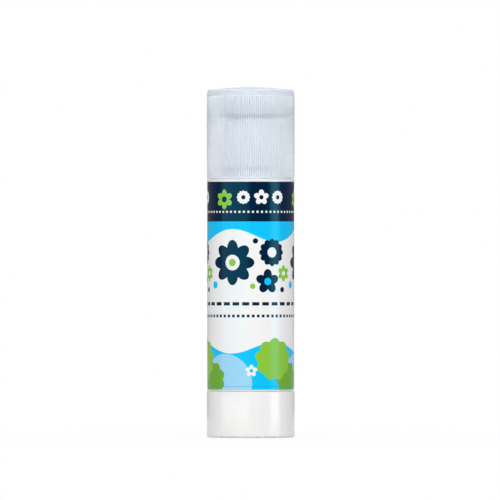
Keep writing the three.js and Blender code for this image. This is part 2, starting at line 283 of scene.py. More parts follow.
scratched_gloss = sum_of(moulded_skin, "MULTIPLY_ADD", hair_mask, scratch_roughness, even_gloss)
moulded_skin.links.new(scratched_gloss, skin_out.inputs["Roughness"])
skin_relief = sum_of(moulded_skin, "MULTIPLY_ADD", skin_flow.outputs[0], flow_share,
                     skin_peel.outputs[0])
skin_relief = sum_of(moulded_skin, "MULTIPLY_ADD", hair_mask, scratch_height, skin_relief)
moulded_skin.links.new(skin_relief, skin_out.inputs["Height"])

# Where fingers and the table rub an edge: a mask round one height on the stick, broken up
# so that the rub comes and goes along the edge.
unrubbed_share = 0.42
rub_contrast = 5
rubbed_edge, rub_in, rub_out = new_group(
    "rubbed edge", {"Edge Height": 0.0, "Width": 1 * mm}, ("Mask",))
rub_place = add(rubbed_edge, "ShaderNodeTexCoord")
rub_split = add(rubbed_edge, "ShaderNodeSeparateXYZ")
rub_noise = add(rubbed_edge, "ShaderNodeTexNoise", Scale=700, Detail=4)
rubbed_edge.links.new(rub_place.outputs["Object"], rub_split.inputs[0])
rubbed_edge.links.new(rub_place.outputs["Object"], rub_noise.inputs["Vector"])
rub_gap = sum_of(rubbed_edge, "SUBTRACT", rub_split.outputs["Z"], rub_in.outputs["Edge Height"])
rub_gap = sum_of(rubbed_edge, "ABSOLUTE", rub_gap)
rub_gap = sum_of(rubbed_edge, "DIVIDE", rub_gap, rub_in.outputs["Width"])
rub_near = sum_of(rubbed_edge, "SUBTRACT", 1, rub_gap, clamp=True)
rub_patch = sum_of(rubbed_edge, "SUBTRACT", rub_noise.outputs[0], unrubbed_share)
rub_patch = sum_of(rubbed_edge, "MULTIPLY", rub_patch, rub_contrast, clamp=True)
rubbed_edge.links.new(sum_of(rubbed_edge, "MULTIPLY", rub_near, rub_patch), rub_out.inputs["Mask"])


def new_material(name):
    """A material with its Principled shader, and the tree they stand in."""
    material = bpy.data.materials.new(name)
    material.use_nodes = True
    tree = material.node_tree
    return material, tree, tree.nodes["Principled BSDF"]


def use_group(tree, group, **values):
    """A shader group placed in a material, with its inputs set by name."""
    made = tree.nodes.new("ShaderNodeGroup")
    made.node_tree = group
    for name, value in values.items():
        made.inputs[name.replace("_", " ")].default_value = value
    return made


def mix_colour(tree, factor, first, second):
    """A Mix node over two colours, each a socket or a plain colour."""
    made = tree.nodes.new("ShaderNodeMix")
    made.data_type = "RGBA"
    tree.links.new(factor, made.inputs[0])
    for place, colour in ((6, first), (7, second)):
        if isinstance(colour, tuple):
            made.inputs[place].default_value = colour
        else:
            tree.links.new(colour, made.inputs[place])
    return made.outputs[2]


def raise_relief(tree, shader, height, distance, strength=1.0):
    """Let a height in a material shade its surface."""
    bump = add(tree, "ShaderNodeBump", Distance=distance, Strength=strength)
    tree.links.new(height, bump.inputs["Height"])
    tree.links.new(bump.outputs["Normal"], shader.inputs["Normal"])


white_plastic, tree, shader = new_material("white polypropylene")
skin = use_group(tree, moulded_skin, Gloss=0.24, Drift=0.08, Scratches=0.35)
foot_rub = use_group(tree, rubbed_edge, Edge_Height=0.2 * mm, Width=0.9 * mm)
white_base = mix_colour(tree, foot_rub.outputs["Mask"],
                        linear(240, 240, 239), linear(222, 222, 219))
tree.links.new(white_base, shader.inputs["Base Color"])
white_gloss = sum_of(tree, "MULTIPLY_ADD", foot_rub.outputs["Mask"], 0.25,
                     skin.outputs["Roughness"])
tree.links.new(white_gloss, shader.inputs["Roughness"])
raise_relief(tree, shader, skin.outputs["Height"], 0.004 * mm, 0.6)
shader.inputs["IOR"].default_value = 1.49
shader.inputs["Subsurface Weight"].default_value = 0.12
shader.inputs["Subsurface Radius"].default_value = (1.0, 0.9, 0.8)
shader.inputs["Subsurface Scale"].default_value = 0.8 * mm
settle(base, white_plastic, "twist_base", "twist_base")


# Lead screw: white polypropylene, moulded in two halves, so its left-handed thread stops at two
# flats. Its square tail is pressed into the base's socket, and its collar rests on the barrel's
# floor.
screw_root_radius = 2.4
screw_crest_radius = 3.5
screw_lead = 5.0
screw_thread_foot = 19.7
screw_thread_top = 86.5
screw_tip = 88.3
screw_tip_edge = 0.8
screw_collar_radius = 5.0
screw_collar_underside = 17.2
screw_collar_top = 18.3
screw_journal_radius = 2.95
screw_tail_side = 4.1
screw_tail_foot = 4.65
screw_tail_bite = 0.4
screw_flats = 5.4
screw_flats_half_length = 4.0
ridge_crest_half = 0.45
ridge_root_half = 0.85
ridge_bite = 0.4
ridge_slope = (ridge_root_half - ridge_crest_half) / (screw_crest_radius - screw_root_radius)
thread_steps = 48


def ridge_half_width(radius):
    """Half the screw ridge's width along the axis at a radius, in mm."""
    return ridge_root_half - ridge_slope * (radius - screw_root_radius)


def helix(corners, low, turns):
    """Sweep a closed section of (radius, offset) corners up a left-handed helix from height low."""
    shape = bmesh.new()
    section = shape.faces.new([shape.verts.new((radius * mm, 0, (low + offset) * mm))
                               for radius, offset in corners])
    steps = round(turns * thread_steps)
    bmesh.ops.spin(shape, geom=section.verts[:] + section.edges[:] + [section], cent=(0, 0, 0),
                   axis=(0, 0, 1), dvec=(0, 0, screw_lead / thread_steps * mm),
                   angle=-steps * full_turn / thread_steps, steps=steps)
    bmesh.ops.recalc_face_normals(shape, faces=shape.faces[:])
    return shape


screw_shape = turned([
    (0, base_boss_top),
    (screw_journal_radius, base_boss_top),
    (screw_journal_radius, screw_collar_underside),
    (screw_collar_radius, screw_collar_underside),
    (screw_collar_radius, screw_collar_top),
    (screw_root_radius, screw_collar_top),
    (screw_root_radius, screw_tip - screw_tip_edge),
    (screw_root_radius - screw_tip_edge, screw_tip),
    (0, screw_tip),
], thread_steps * 2)
soften(screw_shape, [(screw_collar_radius, screw_collar_top)], 0.2, 3)
soften(screw_shape, [(screw_root_radius - screw_tip_edge, screw_tip)], 0.3, 3)
soften(screw_shape, [(screw_root_radius, screw_collar_top)], 0.3, 3)
screw = as_object("lift_screw", screw_shape)
tail_half = screw_tail_side / 2
tail = block((-tail_half, tail_half), screw_tail_side, screw_tail_foot,
             screw_collar_underside + screw_tail_bite, edge=0.15)
work(screw, tail, "UNION")
ridge_inner = screw_root_radius - ridge_bite
thread = as_object("thread", helix([
    (ridge_inner, -ridge_half_width(ridge_inner)),
    (screw_crest_radius, -ridge_crest_half),
    (screw_crest_radius, ridge_crest_half),
    (ridge_inner, ridge_half_width(ridge_inner)),
], screw_thread_foot, (screw_thread_top - screw_thread_foot) / screw_lead))
between_flats = block((-screw_flats_half_length, screw_flats_half_length), screw_flats,
                      screw_collar_top, screw_tip)
work(thread, between_flats, "INTERSECT")
work(screw, shape_of(thread), "UNION")
settle(screw, white_plastic, "twist_base", "lead_screw")


# Barrel: one white moulding with two walls. The inner tube holds the glue and stands out at the
# top as the neck, whose bead holds the cap, and the outer shell carries the label in a recess.
# Its floor bears the screw, and four ribs in the bore keep the carriage from turning.
barrel_foot = 13.9
barrel_recess_foot = 14.15
barrel_recess_top = 75.85
barrel_shoulder = 76.5
barrel_mouth = 95.8
barrel_bore_radius = 10.2
barrel_tube_radius = 11.1
barrel_shell_inside = 11.9
barrel_recess_radius = 12.8
barrel_neck_radius = 11.3
barrel_floor_underside = 15.65
barrel_floor_top = 17.05
barrel_journal_radius = 3.1
barrel_web_underside = 75.35
neck_bead_height = 81.0
neck_bead_radius = 11.55
neck_bead_half_foot = 0.5
neck_bead_half_face = 0.2
guide_width = 1.0
guide_inside = 9.75
guide_top = 89.8
guide_count = 4
guide_bite = 0.4
guide_set_up = 0.7
barrel_shape = turned([
    (barrel_journal_radius, barrel_floor_underside),
    (barrel_tube_radius, barrel_floor_underside),
    (barrel_tube_radius, barrel_web_underside),
    (barrel_shell_inside, barrel_web_underside),
    (barrel_shell_inside, barrel_foot),
    (flush_radius, barrel_foot),
    (flush_radius, barrel_recess_foot),
    (barrel_recess_radius, barrel_recess_foot),
    (barrel_recess_radius, barrel_recess_top),
    (flush_radius, barrel_recess_top),
    (flush_radius, barrel_shoulder),
    (barrel_neck_radius, barrel_shoulder),
    (barrel_neck_radius, neck_bead_height - neck_bead_half_foot),
    (neck_bead_radius, neck_bead_height - neck_bead_half_face),
    (neck_bead_radius, neck_bead_height + neck_bead_half_face),
    (barrel_neck_radius, neck_bead_height + neck_bead_half_foot),
    (barrel_neck_radius, barrel_mouth),
    (barrel_bore_radius, barrel_mouth),
    (barrel_bore_radius, barrel_floor_top),
    (barrel_journal_radius, barrel_floor_top),
    (barrel_journal_radius, barrel_floor_underside),
])
soften(barrel_shape, [(barrel_neck_radius, barrel_mouth)], 0.25, 4)
soften(barrel_shape, [(barrel_bore_radius, barrel_mouth)], 0.25, 4)
soften(barrel_shape, [(flush_radius, barrel_shoulder)], 0.2, 3)
soften(barrel_shape, [(flush_radius, barrel_foot)], 0.08, 2)
soften(barrel_shape, [(neck_bead_radius, neck_bead_height - neck_bead_half_face)], 0.15, 3)
soften(barrel_shape, [(neck_bead_radius, neck_bead_height + neck_bead_half_face)], 0.15, 3)
soften(barrel_shape, [(barrel_neck_radius, barrel_shoulder)], 0.15, 3)
barrel = as_object("barrel_body", barrel_shape)
guides = block((guide_inside, barrel_bore_radius + guide_bite), guide_width,
               barrel_floor_underside + guide_set_up, guide_top, edge=0.15)
work(barrel, repeated(guides, guide_count, math.pi / guide_count), "UNION")
settle(barrel, white_plastic, "barrel", "barrel")


# Label: one strip of gloss film, printed in navy, cyan, light blue and lime on white, and rolled
# once round the barrel's shell. Its last five millimetres lap over its start at the back.
label_foot = 14.25
label_height = 61.5
label_radius = 12.89
label_thickness = 0.06
label_lap_rise = 0.09
label_ramp = math.radians(7.5)
label_lap = math.radians(22.5)
label_seam_angle = math.pi / 2
label_steps = 306
print_repeats = 3
print_period = full_turn * label_radius / print_repeats
print_sharpness = 12
navy_band_foot = 49.75
rule_height = 0.95
rule_half_width = 0.12
rule_strength = 0.3
navy = linear(0, 23, 56)
cyan = linear(16, 196, 250)
light_blue = linear(160, 214, 245)
lime = linear(140, 198, 58)
lime_shade = linear(112, 172, 44)
paper_white = linear(243, 243, 242)
rule_blue = linear(8, 132, 190)
label_shape = bmesh.new()
bmesh.ops.create_grid(label_shape, x_segments=label_steps, y_segments=6, size=0.5)
print_map = label_shape.loops.layers.uv.new("print")
film_angle = full_turn + label_lap
for face in label_shape.faces:
    for loop in face.loops:
        along = (loop.vert.co.x + 0.5) * film_angle - math.pi
        loop[print_map].uv = (along * label_radius, (loop.vert.co.y + 0.5) * label_height)
for vert in label_shape.verts:
    rolled = (vert.co.x + 0.5) * film_angle
    ramp = min(1.0, max(0.0, (rolled - full_turn + label_ramp) / label_ramp))
    radius = label_radius + label_lap_rise * ramp * ramp * (3 - 2 * ramp)
    angle = label_seam_angle + rolled
    height = label_foot + (vert.co.y + 0.5) * label_height
    vert.co = (radius * math.cos(angle) * mm, radius * math.sin(angle) * mm, height * mm)
label_shape.normal_update()
bmesh.ops.solidify(label_shape, geom=label_shape.faces[:], thickness=label_thickness * mm)
label = as_object("label_film", label_shape)


def printed_where(tree, inside):
    """A mask of where a distance in mm is above zero, with an edge as sharp as print."""
    return sum_of(tree, "MULTIPLY_ADD", inside, print_sharpness, 0.5, clamp=True)


# A flower, rosette or disc cut from coloured paper: its edge dips between its petals by a share
# of its radius, and the same shape comes again on each of the label's repeats.
cut_shape, cut_in, cut_out = new_group("cut shape", {
    "Along": 0, "Up": 0, "Middle Along": 0, "Middle Up": 0,
    "Radius": 1, "Petals": 6, "Dip": 0, "Turn": 0,
}, ("Mask",))
off_middle = sum_of(cut_shape, "SUBTRACT", cut_in.outputs["Along"], cut_in.outputs["Middle Along"])
off_middle = sum_of(cut_shape, "ADD", off_middle, print_period / 2)
off_middle = sum_of(cut_shape, "FLOORED_MODULO", off_middle, print_period)
across = sum_of(cut_shape, "SUBTRACT", off_middle, print_period / 2)
upward = sum_of(cut_shape, "SUBTRACT", cut_in.outputs["Up"], cut_in.outputs["Middle Up"])
upward_squared = sum_of(cut_shape, "MULTIPLY", upward, upward)
reach = sum_of(cut_shape, "MULTIPLY_ADD", across, across, upward_squared)
reach = sum_of(cut_shape, "SQRT", reach)
bearing = sum_of(cut_shape, "ARCTAN2", across, upward)
bearing = sum_of(cut_shape, "ADD", bearing, cut_in.outputs["Turn"])
half_petals = sum_of(cut_shape, "DIVIDE", cut_in.outputs["Petals"], 2)
half_waves = sum_of(cut_shape, "MULTIPLY", bearing, half_petals)
petal = sum_of(cut_shape, "ABSOLUTE", sum_of(cut_shape, "COSINE", half_waves))
dip = sum_of(cut_shape, "SUBTRACT", 1, petal)
dip = sum_of(cut_shape, "MULTIPLY", cut_in.outputs["Dip"], dip)
outline = sum_of(cut_shape, "SUBTRACT", 1, dip)
outline = sum_of(cut_shape, "MULTIPLY", cut_in.outputs["Radius"], outline)
inside = sum_of(cut_shape, "SUBTRACT", outline, reach)
cut_shape.links.new(printed_where(cut_shape, inside), cut_out.inputs["Mask"])

printed_film, tree, shader = new_material("printed film")
print_place = add(tree, "ShaderNodeUVMap", uv_map="print")
print_split = add(tree, "ShaderNodeSeparateXYZ")
tree.links.new(print_place.outputs["UV"], print_split.inputs[0])
up = print_split.outputs["Y"]
along = sum_of(tree, "ADD", print_split.outputs["X"], print_period / 2)
along = sum_of(tree, "FLOORED_MODULO", along, print_period)
along = sum_of(tree, "SUBTRACT", along, print_period / 2)


def wave_edge(middle, rise, crest_at):
    """A mask below a wave across the panel: its middle height, rise and crest place in mm."""
    phase = sum_of(tree, "SUBTRACT", along, crest_at)
    phase = sum_of(tree, "MULTIPLY", phase, full_turn / print_period)
    edge = sum_of(tree, "MULTIPLY_ADD", sum_of(tree, "COSINE", phase), rise, middle)
    return printed_where(tree, sum_of(tree, "SUBTRACT", edge, up))


def stitched_row(height, stitches, half_width, half_height):
    """A mask of a row of small blocks, with this many on each repeat of the print, in mm."""
    spacing = print_period / stitches
    off_block = sum_of(tree, "FLOORED_MODULO", along, spacing)
    off_block = sum_of(tree, "SUBTRACT", off_block, spacing / 2)
    beside = sum_of(tree, "SUBTRACT", half_width, sum_of(tree, "ABSOLUTE", off_block))
    off_row = sum_of(tree, "ABSOLUTE", sum_of(tree, "SUBTRACT", up, height))
    above = sum_of(tree, "SUBTRACT", half_height, off_row)
    return printed_where(tree, sum_of(tree, "MINIMUM", beside, above))


def cut_from(middle_along, middle_up, radius, petals, dip, turn_degrees):
    """The mask of one cut paper shape on each repeat of the print, in mm."""
    made = use_group(tree, cut_shape, Middle_Along=middle_along, Middle_Up=middle_up,
                     Radius=radius, Petals=petals, Dip=dip, Turn=math.radians(turn_degrees))
    tree.links.new(along, made.inputs["Along"])
    tree.links.new(up, made.inputs["Up"])
    return made.outputs["Mask"]


def lay(ground, shapes):
    """Lay cut paper shapes on a ground, each as its place, radius, petals, dip, turn and colour."""
    for middle_along, middle_up, radius, petals, dip, turn, colour in shapes:
        mask = cut_from(middle_along, middle_up, radius, petals, dip, turn)
        ground = mix_colour(tree, mask, ground, colour)
    return ground


printed = mix_colour(tree, wave_edge(45.6, 1.9, -5.5), cyan, paper_white)
printed = mix_colour(tree, wave_edge(12.4, 1.7, 7.5), printed, cyan)
printed = lay(printed, [
    (-8.2, 2.0, 8.6, 1, 0, 0, light_blue),
    (13.4, 3.0, 5.4, 9, 0.14, 10, lime_shade),
    (7.6, 9.0, 6.3, 9, 0.14, 0, lime),
    (0.2, 5.6, 1.8, 5, 0.4, 0, paper_white),
    (0.2, 5.6, 0.55, 1, 0, 0, cyan),
    (-5.6, 37.6, 6.7, 8, 0.3, 0, navy),
    (-5.6, 37.6, 2.3, 1, 0, 0, paper_white),
    (-5.6, 37.6, 1.1, 1, 0, 0, lime),
    (6.6, 40.6, 4.1, 12, 0.14, 0, navy),
    (6.6, 40.6, 1.5, 1, 0, 0, paper_white),
    (5.2, 32.0, 3.7, 5, 0.4, 0, navy),
    (5.2, 32.0, 1.1, 1, 0, 0, cyan),
    (11.0, 34.4, 2.4, 6, 0.38, 0, lime),
    (11.0, 34.4, 0.7, 1, 0, 0, paper_white),
    (1.4, 44.0, 0.8, 1, 0, 0, navy),
    (-12.2, 31.0, 1.1, 1, 0, 0, cyan),
    (0.6, 30.6, 0.8, 1, 0, 0, lime),
    (10.4, 29.6, 0.8, 1, 0, 0, navy),
])
printed = mix_colour(tree, stitched_row(25.4, 9, 1.05, 0.5), printed, navy)
printed = mix_colour(tree, stitched_row(21.8, 18, 0.42, 0.42), printed, navy)
navy_band = printed_where(tree, sum_of(tree, "SUBTRACT", up, navy_band_foot))
printed = mix_colour(tree, navy_band, printed, navy)
printed = lay(printed, [
    (-8.4, 56.3, 2.9, 6, 0.38, 0, lime),
    (-8.4, 56.3, 0.9, 1, 0, 0, navy),
    (-2.2, 56.9, 2.0, 12, 0.14, 0, paper_white),
    (-2.2, 56.9, 0.65, 1, 0, 0, navy),
    (3.2, 56.9, 2.3, 5, 0.4, 0, paper_white),
    (3.2, 56.9, 0.65, 1, 0, 0, navy),
    (8.6, 56.9, 2.0, 12, 0.14, 0, paper_white),
    (8.6, 56.9, 0.65, 1, 0, 0, navy),
])
printed = mix_colour(tree, stitched_row(52.6, 20, 0.3, 0.3), printed, paper_white)
off_rule = sum_of(tree, "ABSOLUTE", sum_of(tree, "SUBTRACT", up, rule_height))
lower_rule = printed_where(tree, sum_of(tree, "SUBTRACT", rule_half_width, off_rule))
lower_rule = sum_of(tree, "MULTIPLY", lower_rule, rule_strength)
printed = mix_colour(tree, lower_rule, printed, rule_blue)
tree.links.new(printed, shader.inputs["Base Color"])
skin = use_group(tree, moulded_skin, Gloss=0.22, Drift=0.08, Scratches=0.25)
tree.links.new(skin.outputs["Roughness"], shader.inputs["Roughness"])
raise_relief(tree, shader, skin.outputs["Height"], 0.003 * mm, 0.5)
shader.inputs["IOR"].default_value = 1.45
shader.inputs["Specular IOR Level"].default_value = 0.28
shader.inputs["Specular Tint"].default_value = (0.1, 0.8, 1.0, 1)
settle(label, printed_film, "barrel", "label", sharp_degrees=60)


# Carriage: a white cup that grips the foot of the glue. The nut in its hub runs on the screw, its
# skirt keeps it straight in the bore, and four notches in its rim run along the barrel's ribs.
carriage_foot = 18.9
carriage_floor_underside = 25.5
carriage_floor_top = 26.7
carriage_rim = 32.7
carriage_radius = 10.05
carriage_cup_radius = 9.05
hub_radius = 5.3
gusset_count = 4
gusset_thickness = 0.9
gusset_hub_bite = 0.75
gusset_wall_bite = 0.5
gusset_set_up = 0.3
gusset_floor_gap = 0.6
nut_bore_radius = 3.8
nut_bite = 0.5
nut_turns = 3.5
nut_steps = 96
nut_foot = carriage_foot + 0.45
nut_top = carriage_floor_top - 0.4
nut_limit_radius = hub_radius - 0.5
thread_clearance = 0.3
guide_clearance = 0.25


def guide_notches(low, high):
    """Four slots that clear the barrel's guide ribs, between two heights in mm."""
    slot = block((guide_inside - guide_clearance, flush_radius),
                 guide_width + 2 * guide_clearance, low, high)
    return repeated(slot, guide_count, math.pi / guide_count)


carriage_shape = turned([
    (nut_bore_radius, carriage_foot),
    (hub_radius, carriage_foot),
    (hub_radius, carriage_floor_underside),
    (carriage_cup_radius, carriage_floor_underside),
    (carriage_cup_radius, carriage_foot),
    (carriage_radius, carriage_foot),
    (carriage_radius, carriage_rim),
    (carriage_cup_radius, carriage_rim),
    (carriage_cup_radius, carriage_floor_top),
    (nut_bore_radius, carriage_floor_top),
    (nut_bore_radius, carriage_foot),
], round_steps // 2)
soften(carriage_shape, [(carriage_radius, carriage_foot)], 0.3, 3)
soften(carriage_shape, [(carriage_radius, carriage_rim)], 0.15, 2)
soften(carriage_shape, [(carriage_cup_radius, carriage_rim)], 0.15, 2)
carriage = as_object("glue_carriage", carriage_shape)
gussets = block((hub_radius - gusset_hub_bite, carriage_cup_radius + gusset_wall_bite),
                gusset_thickness, carriage_foot + gusset_set_up,
                carriage_floor_top - gusset_floor_gap)
work(carriage, repeated(gussets, gusset_count), "UNION")
notches = guide_notches(carriage_foot - overrun, carriage_rim + overrun)
work(carriage, notches, "DIFFERENCE")


def groove_half_width(radius):
    """Half the nut ridge's width along the axis: the screw's groove less its clearance, in mm."""
    return screw_lead / 2 - ridge_half_width(radius) - thread_clearance


nut_inside = screw_root_radius + thread_clearance
nut_outside = nut_bore_radius + nut_bite
nut = as_object("nut", helix([
    (nut_inside, -groove_half_width(nut_inside)),
    (nut_outside, -groove_half_width(nut_outside)),
    (nut_outside, groove_half_width(nut_outside)),
    (nut_inside, groove_half_width(nut_inside)),
], screw_thread_foot - screw_lead / 2, nut_turns))
nut_limit = turned([
    (0, nut_foot),
    (nut_limit_radius, nut_foot),
    (nut_limit_radius, nut_top),
    (0, nut_top),
], nut_steps)
work(nut, nut_limit, "INTERSECT")
work(carriage, shape_of(nut), "UNION")
settle(carriage, white_plastic, "carriage", "carriage")


# Glue: a waxy white adhesive, cast hot into the cup and round the screw. It fills the bore, is
# notched by the guide ribs, and its top sets in a low smooth dome with a soft edge.
glue_foot = 26.82
glue_step = 32.82
glue_foot_radius = 8.93
glue_radius = 10.08
glue_shoulder = 93.9
glue_edge_top = 94.4
glue_dome = 0.35
glue_hole_radius = 3.62
glue_hole_top = 88.42
wax_least_roughness = 0.38
wax_gloss_drift = 0.25
wax_grain_share = 0.25
dome_radius = glue_radius - 0.5
dome_points = [(dome_radius * share, glue_edge_top + glue_dome * (1 - share * share))
               for share in (1, 0.9, 0.8, 0.65, 0.5, 0.35, 0.2, 0)]
glue_shape = turned([
    (glue_hole_radius, glue_foot),
    (glue_foot_radius, glue_foot),
    (glue_foot_radius, glue_step),
    (glue_radius, glue_step),
    (glue_radius, glue_shoulder),
    *dome_points,
    (0, glue_hole_top),
    (glue_hole_radius, glue_hole_top),
    (glue_hole_radius, glue_foot),
])
soften(glue_shape, [(glue_radius, glue_shoulder), (dome_radius, glue_edge_top)], 0.3, 4)
glue = as_object("glue_body", glue_shape)
notches = guide_notches(glue_foot - overrun, guide_top + guide_clearance)
work(glue, notches, "DIFFERENCE")
adhesive, tree, shader = new_material("waxy adhesive")
wax_place = add(tree, "ShaderNodeTexCoord")
wax_cloud = add(tree, "ShaderNodeTexNoise", Scale=320, Detail=4)
wax_grain = add(tree, "ShaderNodeTexNoise", Scale=1700, Detail=3)
tree.links.new(wax_place.outputs["Object"], wax_cloud.inputs["Vector"])
tree.links.new(wax_place.outputs["Object"], wax_grain.inputs["Vector"])
wax_colour = mix_colour(tree, wax_cloud.outputs[0], linear(244, 242, 233), linear(236, 233, 220))
tree.links.new(wax_colour, shader.inputs["Base Color"])
wax_gloss = sum_of(tree, "MULTIPLY_ADD", wax_cloud.outputs[0], wax_gloss_drift, wax_least_roughness)
tree.links.new(wax_gloss, shader.inputs["Roughness"])
wax_relief = sum_of(tree, "MULTIPLY_ADD", wax_grain.outputs[0], wax_grain_share,
                    wax_cloud.outputs[0])
raise_relief(tree, shader, wax_relief, 0.06 * mm, 0.5)
shader.inputs["IOR"].default_value = 1.44
shader.inputs["Subsurface Weight"].default_value = 0.4
shader.inputs["Subsurface Radius"].default_value = (1.0, 0.9, 0.75)
shader.inputs["Subsurface Scale"].default_value = 1.5 * mm
settle(glue, adhesive, "carriage", "glue")


# Cap: natural polypropylene, left milky and see-through, with 120 fine ribs to grip it by. Inside
# it, a bead closes on the neck's mouth and a second bead clicks under the bead on the neck.
cap_foot = 76.6
cap_rib_foot = 77.2
cap_rib_top = 101.2
cap_roof_edge = 103.0
cap_crown = 0.785
cap_bore_radius = 11.75
cap_plain_radius = 12.88
cap_valley_radius = 12.7
cap_seal_radius = 11.4
cap_seal_foot = 94.4
cap_snap_radius = 11.65
cap_snap_foot = 79.1
cap_snap_top = 80.0
cap_ceiling_edge = 101.8
cap_ceiling_rise = 0.8
cap_gate_radius = 1.1
cap_gate_foot = 103.55
cap_gate_nub_foot_radius = 0.5
cap_gate_nub_radius = 0.4
cap_gate_nub_edge = 0.14
cap_gate_nub_height = 0.16
cap_bead_slope = 0.3
cap_beads_top = 96
cap_rib_count = 120
cap_rib_wave = (1.0, 0.95, 0.6, 0.0, 0.6, 0.95)
cap_rib_run_out = 0.2
cap_milkiness = 0.3
crown_radius = cap_plain_radius - 0.75
cap_steps = cap_rib_count * len(cap_rib_wave)


def crown_height(radius):
    """The height of the cap's crowned roof at a radius, in mm."""
    share = radius / crown_radius
    return cap_roof_edge + cap_crown * (1 - share * share)


def ceiling_height(share):
    """The height of the cap's domed ceiling at a share of its radius, in mm."""
    return cap_ceiling_edge + cap_ceiling_rise * (1 - share * share)


ceiling_points = [(cap_bore_radius * share, ceiling_height(share))
                  for share in (0, 0.2, 0.4, 0.6, 0.8, 0.9, 1)]
roof_points = [(crown_radius * share, crown_height(crown_radius * share))
               for share in (0.9, 0.8, 0.65, 0.5, 0.35, 0.2)]
cap_shape = turned([
    *ceiling_points,
    (cap_bore_radius, barrel_mouth),
    (cap_seal_radius, barrel_mouth - cap_bead_slope),
    (cap_seal_radius, cap_seal_foot + cap_bead_slope),
    (cap_bore_radius, cap_seal_foot),
    (cap_bore_radius, cap_snap_top),
    (cap_snap_radius, cap_snap_top - cap_bead_slope),
    (cap_snap_radius, cap_snap_foot + cap_bead_slope),
    (cap_bore_radius, cap_snap_foot),
    (cap_bore_radius, cap_foot),
    (cap_plain_radius, cap_foot),
    (cap_plain_radius, cap_rib_foot),
    (flush_radius, cap_rib_foot + cap_rib_run_out),
    (flush_radius, cap_rib_top - cap_rib_run_out),
    (cap_plain_radius, cap_rib_top),
    (cap_plain_radius, cap_roof_edge),
    *roof_points,
    (cap_gate_radius, crown_height(cap_gate_radius)),
    (cap_gate_radius, cap_gate_foot),
    (cap_gate_nub_foot_radius, cap_gate_foot),
    (cap_gate_nub_radius, cap_gate_foot + cap_gate_nub_edge),
    (0, cap_gate_foot + cap_gate_nub_height),
], cap_steps)
for vert in cap_shape.verts:
    if abs(vert.co.xy.length - flush_radius * mm) < same_place * mm:
        step = round(math.atan2(vert.co.y, vert.co.x) / full_turn * cap_steps)
        rise = cap_rib_wave[step % len(cap_rib_wave)]
        radius = cap_valley_radius + (flush_radius - cap_valley_radius) * rise
        vert.co.xy *= radius / flush_radius
soften(cap_shape, [(cap_plain_radius, cap_roof_edge)], 0.7, 6)
soften(cap_shape, [(cap_bore_radius, cap_ceiling_edge)], 0.4, 4)
soften(cap_shape, [(cap_plain_radius, cap_foot), (cap_bore_radius, cap_foot)], 0.12, 2)
soften(cap_shape, [(cap_gate_radius, cap_gate_foot)], 0.1, 2)
cap = as_object("ribbed_cap", cap_shape)
natural_plastic, tree, shader = new_material("natural polypropylene")
skin = use_group(tree, moulded_skin, Gloss=0.13, Drift=0.05, Scratches=0.1)
top_rub = use_group(tree, rubbed_edge, Edge_Height=102.7 * mm, Width=1.2 * mm)
cap_place = add(tree, "ShaderNodeTexCoord")
cap_split = add(tree, "ShaderNodeSeparateXYZ")
tree.links.new(cap_place.outputs["Object"], cap_split.inputs[0])
from_axis = sum_of(tree, "MULTIPLY", cap_split.outputs["Y"], cap_split.outputs["Y"])
from_axis = sum_of(tree, "MULTIPLY_ADD", cap_split.outputs["X"], cap_split.outputs["X"], from_axis)
from_axis = sum_of(tree, "SQRT", from_axis)
height = cap_split.outputs["Z"]


def mask_past(value, start, width):
    """A mask that rises from 0 to 1 as a value runs on from start by a width, in mm."""
    past_start = sum_of(tree, "SUBTRACT", value, start * mm)
    return sum_of(tree, "DIVIDE", past_start, width * mm, clamp=True)


# Painted shade: the cap's inner beads are coloured darker, standing in for the shade where the seal
# closes on the neck's mouth.
bead_shade_mask = mask_past(from_axis, cap_bore_radius - 0.03, -0.1)
below_beads_top = sum_of(tree, "LESS_THAN", height, cap_beads_top * mm)
bead_shade_mask = sum_of(tree, "MULTIPLY", bead_shade_mask, below_beads_top)
# Painted shade: the grooves between the ribs are coloured darker, where shade falls between them;
# their added roughness is real.
groove_shade_mask = mask_past(from_axis, cap_plain_radius - 0.01, -0.12)
outside_wall = sum_of(tree, "GREATER_THAN", from_axis, (cap_valley_radius - 0.1) * mm)
groove_shade_mask = sum_of(tree, "MULTIPLY", groove_shade_mask, outside_wall)
below_rib_top = sum_of(tree, "LESS_THAN", height, cap_rib_top * mm)
groove_shade_mask = sum_of(tree, "MULTIPLY", groove_shade_mask, below_rib_top)
# Painted shade: the roof is coloured greyer, for how light falls on it; its added roughness is
# real.
roof_shade_mask = mask_past(height, cap_rib_top, 0.6)
cap_colour = linear(244, 248, 252)
cap_gloss = skin.outputs["Roughness"]
# Each mask mixes in its colour and roughens the gloss: the rub by the roof edge is wear, while the
# colours on the beads, in the grooves and on the roof are painted shade.
for mask, colour, roughening in (
        (top_rub.outputs["Mask"], linear(236, 241, 246), 0.12),
        (bead_shade_mask, linear(186, 195, 205), 0),
        (groove_shade_mask, linear(206, 213, 221), 0.1),
        (roof_shade_mask, linear(226, 231, 237), 0.35)):
    cap_colour = mix_colour(tree, mask, cap_colour, colour)
    cap_gloss = sum_of(tree, "MULTIPLY_ADD", mask, roughening, cap_gloss)
tree.links.new(cap_colour, shader.inputs["Base Color"])
tree.links.new(cap_gloss, shader.inputs["Roughness"])
raise_relief(tree, shader, skin.outputs["Height"], 0.0006 * mm, 0.5)
shader.inputs["IOR"].default_value = 1.49
shader.inputs["Transmission Weight"].default_value = 1 - cap_milkiness
cap_path = add(tree, "ShaderNodeLightPath")
lamps_pass = add(tree, "ShaderNodeBsdfTransparent", Color=linear(176, 180, 187))
lit_through = add(tree, "ShaderNodeMixShader")
tree.links.new(cap_path.outputs["Is Shadow Ray"], lit_through.inputs[0])
tree.links.new(shader.outputs[0], lit_through.inputs[1])
tree.links.new(lamps_pass.outputs[0], lit_through.inputs[2])
tree.links.new(lit_through.outputs[0], tree.nodes["Material Output"].inputs["Surface"])
settle(cap, natural_plastic, "cap", "cap", sharp_degrees=58)


